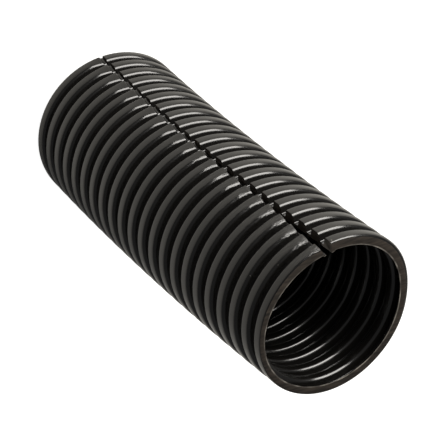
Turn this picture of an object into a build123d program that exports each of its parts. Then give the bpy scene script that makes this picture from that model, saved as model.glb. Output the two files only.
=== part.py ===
from build123d import *

import os
from math import atan, cos, degrees, radians, sin, tan

# Split corrugated conduit: a short length of loom tubing for cables, moulded in one piece.
# Millimetres. The tube stands on its tail end, with its sprung mouth at the top and its slit on the
# +Y side. It keeps the gentle set of the coil that it was cut from, and leans to +X as it rises.

os.makedirs("parts", exist_ok=True)

# The corrugation
crest_radius = 15.0      # outside, over the ridges
ridge_height = 1.6       # how far a ridge stands above the valleys beside it
wall = 0.5               # thickness of the skin, which runs in waves
pitch = 3.6              # from one ridge to the next
crest_flat = 1.45        # width of a ridge's top, between its sharp corners
flank_taper = 12.0       # degrees that a ridge's side leans from square

# The length that is cut from the coil
ridge_count = 22
end_stub = 0.4           # skin left beyond the foot of the first and last ridge
bend_radius = 600.0      # the coil's set, from the bend's centre to the tube's axis

# The slit from end to end, sprung open at the mouth
slit_mouth_width = 1.3
slit_middle_width = 0.36
slit_tail_width = 0.22
slit_mouth_turn = -12.4    # degrees round the tube from its +Y side, towards +X
slit_middle_turn = -10.3
slit_tail_turn = -8.6
cut_overrun = 1.0          # how far a cutting shape passes the piece

# Sizes that follow
root_radius = crest_radius - ridge_height
bore_radius = root_radius - wall
crest_half = crest_flat / 2
flank_run = ridge_height * tan(radians(flank_taper))
corner_shift = wall * tan(radians(90 - flank_taper) / 2)
ring_half = pitch / 2 + cut_overrun
end_reach = crest_half + flank_run + end_stub
step_angle = 2 * degrees(atan(pitch / 2 / bend_radius))
sweep_angle = (ridge_count - 1) * step_angle
middle_angle = sweep_angle / 2
half_angle = middle_angle + degrees(end_reach / bend_radius)

# The bend's centre, with the tail's cut on the floor and the tube's outermost ridges as far to -X as to +X
tail_back = bend_radius + crest_radius
mouth_front = (bend_radius - crest_radius) * cos(radians(sweep_angle)) - crest_half * sin(radians(sweep_angle))
bend_centre = ((tail_back + mouth_front) / 2, 0, end_reach)


def across(angle, along=0.0):
    """The plane square to the tube at this angle up the bend, facing the mouth, its X to the bend's centre."""
    return Plane(Pos(*bend_centre) * Rot(0, angle, 0) * Pos(-bend_radius, 0, along))


def facing(angle, turn):
    """The plane along the tube's axis there, its X to the mouth, that faces out at this turn from +Y."""
    level = across(angle)
    outward = level.x_dir * sin(radians(turn)) + level.y_dir * cos(radians(turn))
    return Plane(level.origin, x_dir=level.z_dir, z_dir=outward)


def slit_turn(angle):
    """Where the slit lies at this angle up the bend, in degrees round the tube from +Y towards +X."""
    share = (angle - middle_angle) / half_angle
    slope = (slit_mouth_turn - slit_tail_turn) / 2
    curve = (slit_mouth_turn + slit_tail_turn) / 2 - slit_middle_turn
    return slit_middle_turn + slope * share + curve * share**2


def ridge_outline(flat_half, top, foot):
    """One side of the skin along a ridge, from one valley to the next, as places along the tube and radii."""
    foot_half = flat_half + flank_run
    return [
        (-ring_half, foot),
        (-foot_half, foot),
        (-flat_half, top),
        (flat_half, top),
        (foot_half, foot),
        (ring_half, foot),
    ]


def ridge(angle, upper, lower):
    """The skin round one ridge, between two planes across the tube. Its seam lies where the slit goes."""
    flat = facing(angle, slit_turn(angle) - 90)
    with BuildPart() as ring:
        with BuildSketch(flat):
            with BuildLine():
                outside = ridge_outline(crest_half, crest_radius, root_radius)
                inside = ridge_outline(crest_half - corner_shift, crest_radius - wall, bore_radius)
                Polyline(*outside, *reversed(inside), close=True)
            make_face()
        revolve(axis=Axis(flat.origin, flat.x_dir))
        split(bisect_by=upper, keep=Keep.BOTTOM)
        split(bisect_by=lower, keep=Keep.TOP)
    return ring.part


def slit_point(share, offset, overrun=0.0):
    """A point of the slit's edge, this share of the way from the middle to an end, on the slit's own plane."""
    angle = share * half_angle
    swerve = bend_radius * (1 - cos(radians(angle))) * cos(radians(slit_middle_turn))
    swing = crest_radius * sin(radians(slit_turn(middle_angle + angle) - slit_middle_turn))
    return bend_radius * sin(radians(angle)) + overrun, swerve + swing + offset


# The ridges meet on mitres half way between them, and a square cut ends the tube past the outer ones
angles = [step_angle * i for i in range(ridge_count)]
uppers = [across(a + step_angle / 2) for a in angles[:-1]] + [across(angles[-1], end_reach)]
lowers = [across(angles[0], -end_reach)] + [across(a - step_angle / 2) for a in angles[1:]]
ridges = [ridge(*planes) for planes in zip(angles, uppers, lowers)]

with BuildPart() as conduit:
    add(ridges)

    # The slit, drawn on a plane through the tube's middle and cut out through one side of the skin
    with BuildSketch(facing(middle_angle, slit_middle_turn)) as slit:
        with BuildLine():
            edges = []
            for side in (1, -1):
                edges.append(
                    ThreePointArc(
                        slit_point(1, side * slit_mouth_width / 2, cut_overrun),
                        slit_point(0, side * slit_middle_width / 2),
                        slit_point(-1, side * slit_tail_width / 2, -cut_overrun),
                    )
                )
            for end in (0, 1):
                Line(edges[0] @ end, edges[1] @ end)
        make_face()
    extrude(amount=crest_radius + cut_overrun, mode=Mode.SUBTRACT)

conduit.part.label = "conduit"
export_step(conduit.part, "parts/conduit.step")

print("volume", round(conduit.part.volume, 1), "valid", conduit.part.is_valid)
print("solids", len(conduit.part.solids()), "faces", len(conduit.part.faces()))
print("box", conduit.part.bounding_box())
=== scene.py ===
"""The looks of a split corrugated conduit: its moulded skin, black plastic, light and camera.

Metres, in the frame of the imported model. The tube stands on its tail end, with its sprung mouth at
the top, its slit on the +Y side and its bend towards +X. A place on it is given as s up the tube from
the middle of the tail's ridge, a radius, and a turn round the tube from +Y towards +X.
"""

from math import atan2, cos, pi, radians, sin, tan

import bmesh
import bpy
import numpy as np
from mathutils import Matrix, Vector


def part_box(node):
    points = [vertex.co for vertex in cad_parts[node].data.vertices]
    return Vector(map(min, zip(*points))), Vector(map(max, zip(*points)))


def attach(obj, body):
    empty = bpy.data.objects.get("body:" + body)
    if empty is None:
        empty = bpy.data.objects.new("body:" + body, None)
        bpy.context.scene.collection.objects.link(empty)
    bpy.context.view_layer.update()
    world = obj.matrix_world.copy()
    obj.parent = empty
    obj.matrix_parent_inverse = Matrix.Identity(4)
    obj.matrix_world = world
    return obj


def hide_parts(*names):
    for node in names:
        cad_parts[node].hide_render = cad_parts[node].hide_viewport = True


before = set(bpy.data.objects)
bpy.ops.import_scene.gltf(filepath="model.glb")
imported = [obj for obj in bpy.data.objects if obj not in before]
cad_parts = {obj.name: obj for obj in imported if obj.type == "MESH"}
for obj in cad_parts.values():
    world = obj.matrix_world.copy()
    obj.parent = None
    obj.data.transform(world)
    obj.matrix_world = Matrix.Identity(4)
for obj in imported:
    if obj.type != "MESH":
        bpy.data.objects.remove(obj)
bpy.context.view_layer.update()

MM = 0.001
low, high = (Vector(corner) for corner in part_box("conduit"))

# The tube's own sizes
crest_radius = (high.y - low.y) / 2
ridge_height = 1.6 * MM
wall = 0.5 * MM
pitch = 3.6 * MM
ridge_count = 22
end_reach = 1.465 * MM                   # from the middle of the tail's ridge to its cut, as in the CAD
bend_radius = 600 * MM

# A ridge's section
crest_front = 1.02 * MM                  # from the ridge's middle to its corner towards the mouth
crest_back = 0.88 * MM                   # and to the one towards the tail
flank_taper = radians(12)
front_shoulder = 0.76 * MM               # the roundings of those two corners
back_shoulder = 0.40 * MM
groove_radius = 0.26 * MM                # the rounding of the valleys' corners
crease_radius = 0.08 * MM                # and, on the inside, of the ridge's back corner

# Sizes that follow
root_radius = crest_radius - ridge_height
bore_radius = root_radius - wall
flank_run = ridge_height * tan(flank_taper)
corner_shift = wall * tan((pi / 2 - flank_taper) / 2)
length = (ridge_count - 1) * pitch       # from the tail's ridge to the mouth's
bend_centre_x = low.x + bend_radius + crest_radius

# The ridges lean a little on the tube near the mouth, and its section isn't quite round
lean_up = 0.053                          # a ridge's run ahead on the slit's side, per unit of radius
lean_side = 0.020                        # and on the bend's side
lean_start, lean_end = 9 * pitch, 21 * pitch    # the lean fades between these distances from the mouth
dents = (
    (radians(34), radians(26), 0.12 * MM),      # place round the tube, width and how far it bulges
    (radians(88), radians(24), -0.27 * MM),
    (radians(170), radians(44), 0.36 * MM),
)

# The slit, which drifts round the tube where the lean fades
slit_mouth_turn = radians(-10.0)         # the slit's edge on the bend's side
slit_tail_turn = radians(-8.0)
slit_mouth_width = 1.34 * MM
slit_width = 0.16 * MM
slit_spring_length = 19 * MM             # how far back from the mouth the slit has sprung open
slit_jag = 0.02 * MM                     # raggedness of the cut
jag_pitch = 0.7 * MM
jag_seed = 7
end_wall_reach = 1.6 * wall              # from the slit to where a ridge is hollow, on the bend's side

# The cutting guide: a low strip beside the slit, on its -X side, where the ridges stop
guide_width = 0.45 * MM
guide_round = 0.40 * MM                  # the rounding of the ridges' ends there
guide_depth = 0.25 * MM                  # how far below the valleys the strip lies at the mouth
guide_level_share = 0.8                  # of a ridge's height, how much the strip keeps far from the mouth
guide_start, guide_end = 2 * pitch, 17 * pitch    # it rises between these distances from the mouth

# Beside the guide the ridges' ends have slumped forward a little
slump_depth = 0.38 * MM
slump_reach = 3.4 * MM

# The cut across the mouth, a little askew, through the front of the first ridge
mouth_cut = 0.98 * MM                    # past the first ridge's middle
mouth_skew = 0.24 * MM                   # how much further on its longest side
mouth_skew_turn = radians(80)
rim_bevel = 0.10 * MM
rim_drop = 0.06 * MM
burr_width = 0.19 * MM                   # a burr that the blade has left round the bore, its pale colour partly its own and partly a painted highlight
burr_height = 0.03 * MM

# The mesh's columns: their distances from the slit's edges, and how many lie evenly between those
bend_side_steps = np.array([0, 0.06, 0.25, 0.5, 0.8, 1.3]) * MM
guide_arc_count = 6
guide_arc = guide_width + guide_round * (1 - np.cos(np.linspace(0, pi / 2, guide_arc_count)))
guide_side_steps = np.concatenate([
    [0, 0.08 * MM, guide_width / 2],
    guide_arc,
    np.array([0.3, 1.0]) * MM + guide_arc[-1],
])
middle_count = 88
sharp_angle = radians(50)                # edges that turn more than this aren't shaded round

# Crumbs at the cut and specks on the ridges: place up the tube, radius, turn in degrees and size
crumbs = (
    (length + mouth_cut + 0.16 * MM, bore_radius + 0.40 * MM, 53, 0.11 * MM),
    (length + mouth_cut + 0.20 * MM, bore_radius + 0.62 * MM, 64, 0.13 * MM),
    (length + mouth_cut + 0.22 * MM, bore_radius + 0.36 * MM, 70, 0.10 * MM),
    (length + 0.45 * MM, crest_radius - 0.03 * MM, -8.4, 0.15 * MM),
    (length - 2 * pitch + crest_front, crest_radius - 0.22 * MM, -59, 0.09 * MM),
    (length - pitch + crest_front, crest_radius - 0.22 * MM, -43, 0.10 * MM),
    (length - 6 * pitch, crest_radius, -71, 0.06 * MM),
    (length - 11 * pitch, crest_radius, 38, 0.07 * MM),
    (length - 9 * pitch, crest_radius, 131, 0.07 * MM),
    (length - 15 * pitch, crest_radius, -158, 0.06 * MM),
)
crumb_shares = (1.0, 0.6, 0.45)          # of a ball's width, along its three axes
crumb_spin = 7                           # each lies its own way, by its turn times this
crumb_detail = 2                         # how finely the ball is divided

# The skin's materials, by their places on it. The third one's pale colour is partly painted light
BLACK, CUT, TORN_AND_PAINTED_LIGHT = range(3)

# The plastics' colours
plastic_ior = 1.48
black_colours = ((0.0032, 0.0029, 0.0026, 1), (0.0056, 0.0051, 0.0045, 1))
dust_colour = (0.16, 0.15, 0.13, 1)
cut_colours = ((0.014, 0.0115, 0.0092, 1), (0.052, 0.041, 0.032, 1))
# The torn plastic's pale colours are partly painted light: a painted highlight on the burr round the bore,
# and painted light on the slit's shaded walls at the mouth
torn_and_painted_light_colours = ((0.055, 0.048, 0.041, 1), (0.24, 0.22, 0.19, 1))

# How rough they are. The black one's roughness varies, and is more under dust. A clear gloss lies on it
black_roughness = (0.20, 0.27)
dust_roughness = 0.3
gloss_roughness = 0.15
cut_roughness = (0.55, 0.4)
torn_roughness = 0.45

# How many waves of each noise, or cells of the dust's pattern, go to a metre
dust_cells = 420.0
blotch_waves = 180.0
flow_waves = 260.0
grain_waves = 1900.0
dimple_waves = 420.0
scuff_waves = 2400.0
streak_waves = 900.0
patch_waves = 420.0

# Marks that are drawn out, by how their coordinates are scaled
flow_scale = (1, 6.0, 1)                 # round the tube and up it, as for the scuffs
scuff_scale = (0.3, 1.6, 1)
blade_scale = (0.25, 2.4, 1)             # along the streaks and across them
blade_turn = radians(35)                 # turns the noise, and leaves the streaks along X

# The values of a noise between which a roughness or colour goes from its first to its second
flow_range = (0.35, 0.65)
streak_colour_range = (0.35, 0.7)
streak_roughness_range = (0.3, 0.7)
patch_range = (0.4, 0.62)
speck_range = (0.045, 0.07)              # a speck's core and edge, in cells from its middle
speck_pick_range = (0.96, 0.965)         # a cell whose random value is past these holds a speck

# Their relief: the black one's unit of height, and how many units its marks have
relief_height = 0.006 * MM
grain_relief = (0.6, 1.1)
dimple_relief = 2.2
scuff_relief = 30.0
streak_height = 0.03 * MM                # the cut plastic's

# Beside the slit, and more so near the mouth, the guide's side is scuffed
scuff_start = (2 * pi - radians(48)) * crest_radius
scuff_end = (2 * pi - radians(24)) * crest_radius
scuff_low, scuff_high = length - 16 * pitch, length

# The floor and the light. Levels are for the camera, for mirrors and for all else, and 1 is white
floor_size = 20
floor_colour = (0.47, 0.46, 0.435)
floor_roughness = 0.9
floor_shine = 0.1
floor_levels = (0.93, 0.0, 0)
world_colour = (1, 1, 1)
world_levels = (1.0, 0.10, 0.28)
lamp_colour = (1.0, 0.97, 0.92)
lamp_direction = (0.52, 0.34, 0.74)      # up the tube, to the bend's centre and to the slit's side
lamp_distance = 0.6
lamp_size = (0.50, 0.46)
lamp_radiance = 7.5

# The photograph's view, from directions at the middle of the tube
azimuth, elevation, roll = radians(58.238), radians(28.688), radians(2.413)
mouth_distance = 412.6 * MM              # to the middle of the mouth's ridge, along the line of sight
focal_pixels = 2512.0
frame_pixels = 444.0
mouth_pixel = (332.74, 312.57)           # where that middle lies in the frame
sensor_width = 36                        # in millimetres, as the lens is
near_clip = 10 * MM


def smooth(value, start, end):
    """0 before start, 1 after end, and a smooth step between them."""
    t = np.clip((value - start) / (end - start), 0, 1)
    return t * t * (3 - 2 * t)


def place(s, radius, turn):
    """The points at which these places of the round tube lie on its bend."""
    bent = np.clip(s, 0, length)
    beyond = s - bent
    angle = bent / bend_radius
    reach = bend_radius - radius * np.sin(turn)
    x = bend_centre_x - reach * np.cos(angle) + beyond * np.sin(angle)
    z = end_reach + reach * np.sin(angle) + beyond * np.cos(angle)
    return np.stack([x, radius * np.cos(turn), z], axis=-1)


def bend(points):
    """Takes points of the straight, round tube to their places on the real one."""
    side, up, s = points.T
    radius = np.hypot(side, up)
    turn = np.arctan2(side, up)
    lean = 1 - smooth(length - s, lean_start, lean_end)
    s = s + lean * (lean_up * up + lean_side * side)
    for dent_turn, width, depth in dents:
        away = np.angle(np.exp(1j * (turn - dent_turn)))
        radius = radius + depth * np.exp(-(away / width) ** 2)
    return place(s, radius, turn)


def rounded(corners):
    """A polyline's points with each corner replaced by an arc: corners are (s, radius, fillet, steps)."""
    points = []
    for i, (s, r, fillet, steps) in enumerate(corners):
        here = np.array([s, r])
        if fillet == 0:
            points.append(here)
            continue
        before = np.array(corners[i - 1][:2]) - here
        after = np.array(corners[i + 1][:2]) - here
        before /= np.linalg.norm(before)
        after /= np.linalg.norm(after)
        half = np.arccos(np.clip(before @ after, -1, 1)) / 2
        centre = here + (before + after) / np.linalg.norm(before + after) * fillet / sin(half)
        start = here + before * fillet / tan(half) - centre
        end = here + after * fillet / tan(half) - centre
        sweep = atan2(start[0] * end[1] - start[1] * end[0], start @ end)
        for step in range(steps):
            turn = sweep * step / (steps - 1)
            points.append(centre + [
                start[0] * cos(turn) - start[1] * sin(turn),
                start[0] * sin(turn) + start[1] * cos(turn),
            ])
    return np.array(points)


def ridge_profiles():
    """The skin's outside and inside along one ridge, as (s, radius) from its front to its back."""
    outside = rounded([
        (pitch / 2, root_radius, 0, 1),
        (crest_front + flank_run, root_radius, groove_radius, 3),
        (crest_front, crest_radius, front_shoulder, 8),
        (-crest_back, crest_radius, back_shoulder, 5),
        (-crest_back - flank_run, root_radius, groove_radius, 3),
        (-pitch / 2, root_radius, 0, 1),
    ])[:-1]
    inner_front = crest_front - corner_shift
    inner_back = crest_back - corner_shift
    fold_radius = groove_radius + wall
    inside = rounded([
        (pitch / 2, bore_radius, 0, 1),
        (inner_front + flank_run, bore_radius, fold_radius, 6),
        (inner_front, crest_radius - wall, front_shoulder - wall, 5),
        (-inner_back, crest_radius - wall, crease_radius, 3),
        (-inner_back - flank_run, bore_radius, fold_radius, 5),
        (-pitch / 2, bore_radius, 0, 1),
    ])[:-1]
    return outside, inside


def slit_edges(s):
    """The turns of the slit's edges at s: the left one by the guide, the right one on the bend's side."""
    random = np.random.default_rng(jag_seed)
    back = length - s
    right = slit_mouth_turn + (slit_tail_turn - slit_mouth_turn) * smooth(back, lean_start, lean_end)
    width = slit_width + (slit_mouth_width - slit_width) * (1 - smooth(back, 0, slit_spring_length))
    knots = np.arange(-pitch, length + 2 * pitch, jag_pitch)
    left_jag, right_jag = (np.interp(s, knots, random.normal(0, slit_jag, len(knots))) for _ in range(2))
    left = right - (width + left_jag) / crest_radius
    return left, right + right_jag / crest_radius


def column_turns(left_edge, right_edge):
    """The columns' turns in each row, from the slit's right edge round the tube to its left one."""
    start = right_edge + bend_side_steps / crest_radius
    end = 2 * pi + left_edge - guide_side_steps[::-1] / crest_radius
    shares = np.arange(1, middle_count + 1) / (middle_count + 1)
    middle = start[:, -1:] + (end[:, :1] - start[:, -1:]) * shares
    return np.concatenate([start, middle, end], axis=1)


def ridge_shares(row_s, columns):
    """How much of its height a ridge keeps in each row and column: less on the guide's strip."""
    past = np.clip((guide_side_steps[::-1] - guide_width) / guide_round, 0, 1)
    drop = np.zeros(columns)
    drop[-len(guide_side_steps):] = 1 - np.sqrt(1 - (1 - past) ** 2)
    return 1 - drop * (1 - guide_level_share * smooth(length - row_s, guide_start, guide_end))


def slump_shares(s, from_slit):
    """How much of the slump a place has: all of it on a ridge's front edge, beside the guide's strip."""
    local = (s - length + pitch / 2) % pitch - pitch / 2
    far = smooth(from_slit, guide_width / crest_radius, slump_reach / crest_radius)
    return smooth(local, -crest_back, crest_front) * (1 - far)


def skin_sheet(profile, is_inside):
    """One side of the skin as s, radius and turn: rows from mouth to tail, and columns round the tube."""
    row_s = np.concatenate([length - k * pitch + profile[:, 0] for k in range(ridge_count)])
    row_s = np.append(row_s, -pitch / 2)
    row_radius = np.append(np.tile(profile[:, 1], ridge_count), profile[0, 1])
    left_edge, right_edge = slit_edges(row_s[:, None])
    turn = column_turns(left_edge, right_edge)
    cut_at = length + mouth_cut + mouth_skew * np.cos(turn - mouth_skew_turn)
    s = np.clip(row_s[:, None], -end_reach, cut_at if is_inside else cut_at - rim_drop)
    radius = np.interp(s, row_s[::-1], row_radius[::-1])
    foot = row_radius.min()
    kept = ridge_shares(row_s[:, None], turn.shape[1])
    slumped = slump_shares(s, 2 * pi + left_edge - turn)
    radius = foot + (radius - foot) * kept * (1 - slump_depth / ridge_height * slumped)
    if is_inside:
        # Walls close the ridges on the slit's other side
        hollow = smooth(turn - right_edge, wall / crest_radius, end_wall_reach / crest_radius)
        radius = foot + (radius - foot) * hollow
    else:
        radius -= guide_depth * (1 - kept)
    return np.stack([s, radius, turn])


def shared_index(s, sheet_rows):
    """The number of the point at each row and column of the band. Rows past a cut share their points."""
    index = np.arange(s.size).reshape(s.shape)
    for rows in (range(sheet_rows), range(sheet_rows, 2 * sheet_rows)[::-1]):
        for before, here in zip(rows, rows[1:]):
            index[here] = np.where(s[before] == s[here], index[before], index[here])
    return index


def skin_faces(index, s, sheet_rows):
    """(corners, is it smooth, material) of each face: all along the band, and the slit's two walls."""
    rows, columns = index.shape
    tail_row, burr_row, face_row, bevel_row = sheet_rows - 1, 2 * sheet_rows - 1, rows - 2, rows - 1
    # The burr's row takes the pale torn plastic, whose colour also paints a highlight along the bore's rim
    flat_rows = {tail_row: CUT, burr_row: TORN_AND_PAINTED_LIGHT, face_row: CUT}
    faces = []
    for row in range(rows):
        below = (row + 1) % rows
        look = (row not in flat_rows, flat_rows.get(row, BLACK))
        for column in range(columns - 1):
            beside = column + 1
            corners = index[[row, row, below, below], [column, beside, beside, column]]
            faces.append((corners, *look))
    for column, order in ((0, -1), (columns - 1, 1)):
        for row in range(tail_row):
            across = burr_row - row
            corners = index[[row, row + 1, across - 1, across], column]
            # Near the mouth the slit's walls take the pale torn plastic, whose colour paints light on them
            # where they lie in shade
            material = TORN_AND_PAINTED_LIGHT if s[row, column] > length - pitch / 2 else CUT
            faces.append((corners[::order], False, material))
        # The wall's face across the mouth's cut takes it too, with the same painted light
        faces.append((index[[0, burr_row, face_row, bevel_row], column][::order], False, TORN_AND_PAINTED_LIGHT))
    return faces


def add_crumbs(shape):
    """Adds the crumbs to the skin's mesh, each a squashed ball that lies its own way."""
    for s, radius, degrees_round, size in crumbs:
        turn = radians(degrees_round)
        crumb = bmesh.ops.create_icosphere(shape, subdivisions=crumb_detail, radius=size)["verts"]
        lie = Matrix.Rotation(turn * crumb_spin, 3, "X") @ Matrix.Rotation(turn, 3, "Z")
        bmesh.ops.scale(shape, vec=crumb_shares, verts=crumb)
        bmesh.ops.rotate(shape, matrix=lie, verts=crumb)
        spot = bend(np.array([[radius * sin(turn), radius * cos(turn), s]]))[0]
        bmesh.ops.translate(shape, vec=spot, verts=crumb)
        for face in {face for vertex in crumb for face in vertex.link_faces}:
            face.material_index = TORN_AND_PAINTED_LIGHT
            face.smooth = True


def build_skin():
    """The whole tube as one closed mesh, with a map of the metres round it and up it."""
    outside, inside = (skin_sheet(*side) for side in zip(ridge_profiles(), (False, True)))
    burr = inside[:, :1] + np.reshape((burr_height, burr_width, 0), (3, 1, 1))
    bevel = outside[:, :1] + np.reshape((rim_drop, -rim_bevel, 0), (3, 1, 1))
    # One closed band of rows: down the outside, up the inside and back across the mouth's face
    s, radius, turn = np.concatenate([outside, inside[:, ::-1], burr, bevel], axis=1)
    points = np.stack([radius * np.sin(turn), radius * np.cos(turn), s], axis=-1).reshape(-1, 3)
    uvs = np.stack([turn * crest_radius, s], axis=-1).reshape(-1, 2)

    # A face that rows past a cut have folded up is left out
    sheet_rows = outside.shape[1]
    faces = []
    for corners, *look in skin_faces(shared_index(s, sheet_rows), s, sheet_rows):
        corners = list(dict.fromkeys(int(corner) for corner in corners))
        if len(corners) > 2:
            faces.append((corners, *look))
    corners, smooth_faces, materials = zip(*faces)

    mesh = bpy.data.meshes.new("conduit_skin")
    mesh.from_pydata(bend(points).tolist(), [], corners)
    layer = mesh.uv_layers.new(name="round_along")
    loops = np.empty(len(mesh.loops), dtype=np.int64)
    mesh.loops.foreach_get("vertex_index", loops)
    layer.data.foreach_set("uv", uvs[loops].astype(np.float32).ravel())
    mesh.polygons.foreach_set("use_smooth", smooth_faces)
    mesh.polygons.foreach_set("material_index", materials)
    mesh.update()
    shape = bmesh.new()
    shape.from_mesh(mesh)
    add_crumbs(shape)
    loose = [vertex for vertex in shape.verts if not vertex.link_faces]
    bmesh.ops.delete(shape, geom=loose, context="VERTS")
    bmesh.ops.recalc_face_normals(shape, faces=shape.faces[:])
    shape.to_mesh(mesh)
    shape.free()
    mesh.set_sharp_from_angle(angle=sharp_angle)
    piece = bpy.data.objects.new("conduit_skin", mesh)
    bpy.context.scene.collection.objects.link(piece)
    return piece


def set_inputs(tree, node, inputs):
    """Gives a node's inputs their values or links."""
    for name, value in inputs.items():
        if isinstance(value, bpy.types.NodeSocket):
            tree.links.new(value, node.inputs[name])
        else:
            node.inputs[name].default_value = value


def add_node(tree, kind, inputs=None, **settings):
    """A new node of this kind, with its settings, and values or links for its inputs."""
    node = tree.nodes.new(kind)
    for name, value in settings.items():
        setattr(node, name, value)
    set_inputs(tree, node, inputs or {})
    return node


def noise(tree, where, waves, detail=2.0):
    """A noise of this many waves a metre, from 0 to 1."""
    inputs = {"Vector": where, "Scale": waves, "Detail": detail}
    return add_node(tree, "ShaderNodeTexNoise", inputs).outputs[0]


def ramp(tree, value, start, end, first, second):
    """The first value or link up to start, the second one from end on, and a ramp between them."""
    inputs = {"Value": value, "From Min": start, "From Max": end, "To Min": first, "To Max": second}
    return add_node(tree, "ShaderNodeMapRange", inputs).outputs[0]


def mixed(tree, share, first, second):
    """A colour between two colours or links."""
    inputs = {0: share, 6: first, 7: second}
    return add_node(tree, "ShaderNodeMix", inputs, data_type="RGBA").outputs[2]


def computed(tree, operation, first, second):
    """What this operation makes of two links or values."""
    return add_node(tree, "ShaderNodeMath", {0: first, 1: second}, operation=operation).outputs[0]


def scaled(tree, where, scale, turn=0):
    """These coordinates scaled, and then turned about Z."""
    inputs = {"Vector": where, "Rotation": (0, 0, turn), "Scale": scale}
    return add_node(tree, "ShaderNodeMapping", inputs).outputs[0]


def bump(tree, height, unit):
    """A normal for relief of this height, in this unit."""
    inputs = {"Height": height, "Strength": 1.0, "Distance": unit}
    return add_node(tree, "ShaderNodeBump", inputs).outputs[0]


def new_plastic(name):
    """A new material, its tree, its shader and, in the tree, the piece's own coordinates."""
    material = bpy.data.materials.new(name)
    material.use_nodes = True
    tree = material.node_tree
    shader = tree.nodes["Principled BSDF"]
    shader.inputs["IOR"].default_value = plastic_ior
    return material, tree, shader, add_node(tree, "ShaderNodeTexCoord").outputs["Object"]


def dust_specks(tree, where):
    """1 in a small round speck at the middle of a few of a pattern's cells, and 0 between them."""
    cells = add_node(tree, "ShaderNodeTexVoronoi", {"Vector": where, "Scale": dust_cells})
    near = ramp(tree, cells.outputs["Distance"], *speck_range, 1, 0)
    chance = add_node(tree, "ShaderNodeSeparateColor", {"Color": cells.outputs["Color"]}).outputs[0]
    return computed(tree, "MULTIPLY", near, ramp(tree, chance, *speck_pick_range, 0, 1))


def scuff_marks(tree, skin_place):
    """The height of fine scuffs, on the guide's side near the mouth."""
    part = add_node(tree, "ShaderNodeSeparateXYZ", {"Vector": skin_place}).outputs
    round_level = ramp(tree, part[0], scuff_start, scuff_end, 0, 1)
    up_level = ramp(tree, part[1], scuff_low, scuff_high, 0, 1)
    lines = noise(tree, scaled(tree, skin_place, scuff_scale), scuff_waves, detail=3.0)
    scuffed = computed(tree, "MULTIPLY", round_level, up_level)
    return computed(tree, "MULTIPLY", scuffed, ramp(tree, lines, 0, 1, 0, scuff_relief))


def black_plastic():
    """Glossy black polyolefin, with a faint grain, flow marks and a few specks of dust."""
    material, tree, shader, where = new_plastic("black_plastic")
    skin_place = add_node(tree, "ShaderNodeUVMap", uv_map="round_along").outputs[0]
    dust = dust_specks(tree, where)
    blotches = noise(tree, where, blotch_waves)
    flow = noise(tree, scaled(tree, skin_place, flow_scale), flow_waves, detail=3.0)
    roughness = ramp(tree, flow, *flow_range, *black_roughness)
    fine_grain = noise(tree, where, grain_waves, detail=3.0)
    grain = computed(tree, "MULTIPLY", fine_grain, ramp(tree, blotches, 0, 1, *grain_relief))
    dimples = ramp(tree, noise(tree, where, dimple_waves), 0, 1, 0, dimple_relief)
    relief = computed(tree, "ADD", computed(tree, "ADD", grain, dust), dimples)
    scuffs = scuff_marks(tree, skin_place)
    set_inputs(tree, shader, {
        "Base Color": mixed(tree, dust, mixed(tree, blotches, *black_colours), dust_colour),
        "Roughness": computed(tree, "ADD", roughness, ramp(tree, dust, 0, 1, 0, dust_roughness)),
        "Normal": bump(tree, computed(tree, "ADD", relief, scuffs), relief_height),
        "Coat Weight": 1.0,
        "Coat Roughness": gloss_roughness,
        "Coat Normal": bump(tree, scuffs, relief_height),
    })
    return material


def cut_plastic():
    """The same plastic where a blade has torn through it: duller, browner and streaked."""
    material, tree, shader, where = new_plastic("cut_plastic")
    along_blade = scaled(tree, where, blade_scale, blade_turn)
    streaks = noise(tree, along_blade, streak_waves, detail=4.0)
    set_inputs(tree, shader, {
        "Base Color": mixed(tree, ramp(tree, streaks, *streak_colour_range, 0, 1), *cut_colours),
        "Roughness": ramp(tree, streaks, *streak_roughness_range, *cut_roughness),
        "Normal": bump(tree, streaks, streak_height),
    })
    return material


def torn_and_painted_light_plastic():
    """Thin edges and crumbs of the plastic that the blade has paled. On the burr and on the slit's walls
    at the mouth, the pale colour is also painted light: a highlight, and light on shade.
    """
    material, tree, shader, where = new_plastic("torn_and_painted_light_plastic")
    patches = ramp(tree, noise(tree, where, patch_waves, detail=4.0), *patch_range, 0, 1)
    set_inputs(tree, shader, {
        "Base Color": mixed(tree, patches, *torn_and_painted_light_colours),
        "Roughness": torn_roughness,
    })
    return material


def seen_level(tree, camera_level, mirror_level, other_level):
    """A strength for rays from the camera, for mirrored ones and for the rest."""
    path = add_node(tree, "ShaderNodeLightPath").outputs
    mirror = computed(tree, "MAXIMUM", path["Is Glossy Ray"], path["Is Transmission Ray"])
    level = ramp(tree, mirror, 0, 1, other_level, mirror_level)
    return ramp(tree, path["Is Camera Ray"], 0, 1, level, camera_level)


def add_floor():
    """A wide pale floor, seen as white, that keeps a trace of the tube's soft shadow."""
    bpy.ops.mesh.primitive_plane_add(size=floor_size, location=(0, 0, 0))
    floor = bpy.context.object
    floor.name = "floor"
    material = bpy.data.materials.new("pale_floor")
    material.use_nodes = True
    tree = material.node_tree
    shader = tree.nodes["Principled BSDF"]
    set_inputs(tree, shader, {
        "Base Color": (*floor_colour, 1),
        "Roughness": floor_roughness,
        "Specular IOR Level": floor_shine,
    })
    glow = add_node(tree, "ShaderNodeEmission", {"Strength": seen_level(tree, *floor_levels)})
    both = add_node(tree, "ShaderNodeAddShader", {0: shader.outputs[0], 1: glow.outputs[0]})
    tree.links.new(both.outputs[0], tree.nodes["Material Output"].inputs["Surface"])
    floor.data.materials.append(material)


def add_world():
    """Even pale light from all round, seen as white."""
    world = bpy.data.worlds.new("studio")
    bpy.context.scene.world = world
    world.use_nodes = True
    tree = world.node_tree
    level = seen_level(tree, *world_levels)
    set_inputs(tree, tree.nodes["Background"], {"Color": (*world_colour, 1), "Strength": level})


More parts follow.
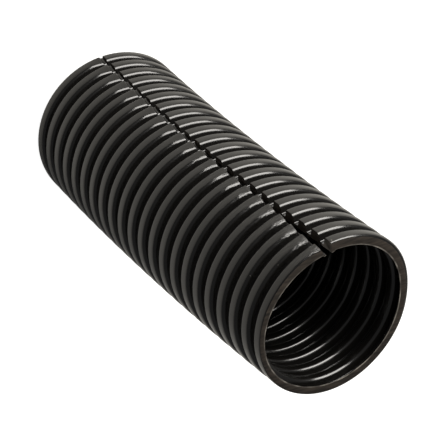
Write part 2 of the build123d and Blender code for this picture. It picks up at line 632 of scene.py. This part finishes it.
def tube_axes():
    """The directions at the middle of the tube: up it, to the bend's centre and to the slit's side."""
    lean_over = length / bend_radius / 2
    return Matrix((
        (sin(lean_over), 0, cos(lean_over)),
        (cos(lean_over), 0, -sin(lean_over)),
        (0, 1, 0),
    )).transposed()


def add_softbox():
    """A soft lamp over the tube's middle, its first size towards the bend's centre."""
    axes = tube_axes()
    away = (axes @ Vector(lamp_direction)).normalized()
    aside = axes @ Vector((0, 1, 0))
    aside = (aside - away * aside.dot(away)).normalized()
    data = bpy.data.lights.new("key", "AREA")
    data.shape = "RECTANGLE"
    data.size, data.size_y = lamp_size
    data.energy = lamp_radiance * lamp_size[0] * lamp_size[1] * pi
    data.color = lamp_colour
    lamp = bpy.data.objects.new("key", data)
    bpy.context.scene.collection.objects.link(lamp)
    turn = Matrix((aside, away.cross(aside), away)).transposed().to_4x4()
    lamp.matrix_world = Matrix.Translation((low + high) / 2 + away * lamp_distance) @ turn


def add_camera():
    """The photograph's view: a long lens that looks along the tube, past its mouth to its tail."""
    axes = tube_axes()
    level = Vector((cos(azimuth), sin(azimuth), 0))
    back = Vector((sin(azimuth) * cos(elevation), -cos(azimuth) * cos(elevation), sin(elevation)))
    above = back.cross(level)
    right = axes @ (level * cos(roll) + above * sin(roll))
    up = axes @ (above * cos(roll) - level * sin(roll))
    back = axes @ back
    mouth = Vector(place(np.array(length), 0.0, 0.0))
    pixel = mouth_distance / focal_pixels
    offset_x, offset_y = ((at - frame_pixels / 2) * pixel for at in mouth_pixel)
    data = bpy.data.cameras.new("camera")
    data.sensor_width = sensor_width
    data.lens = focal_pixels / frame_pixels * data.sensor_width
    data.clip_start = near_clip
    camera = bpy.data.objects.new("camera", data)
    bpy.context.scene.collection.objects.link(camera)
    spot = mouth + back * mouth_distance - right * offset_x + up * offset_y
    camera.matrix_world = Matrix.Translation(spot) @ Matrix((right, up, back)).transposed().to_4x4()
    bpy.context.scene.camera = camera


add_camera()
skin = build_skin()
for material in (black_plastic(), cut_plastic(), torn_and_painted_light_plastic()):
    skin.data.materials.append(material)
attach(skin, "root")
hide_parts("conduit")

add_floor()
add_world()
add_softbox()

bpy.context.scene.view_settings.view_transform = "Standard"
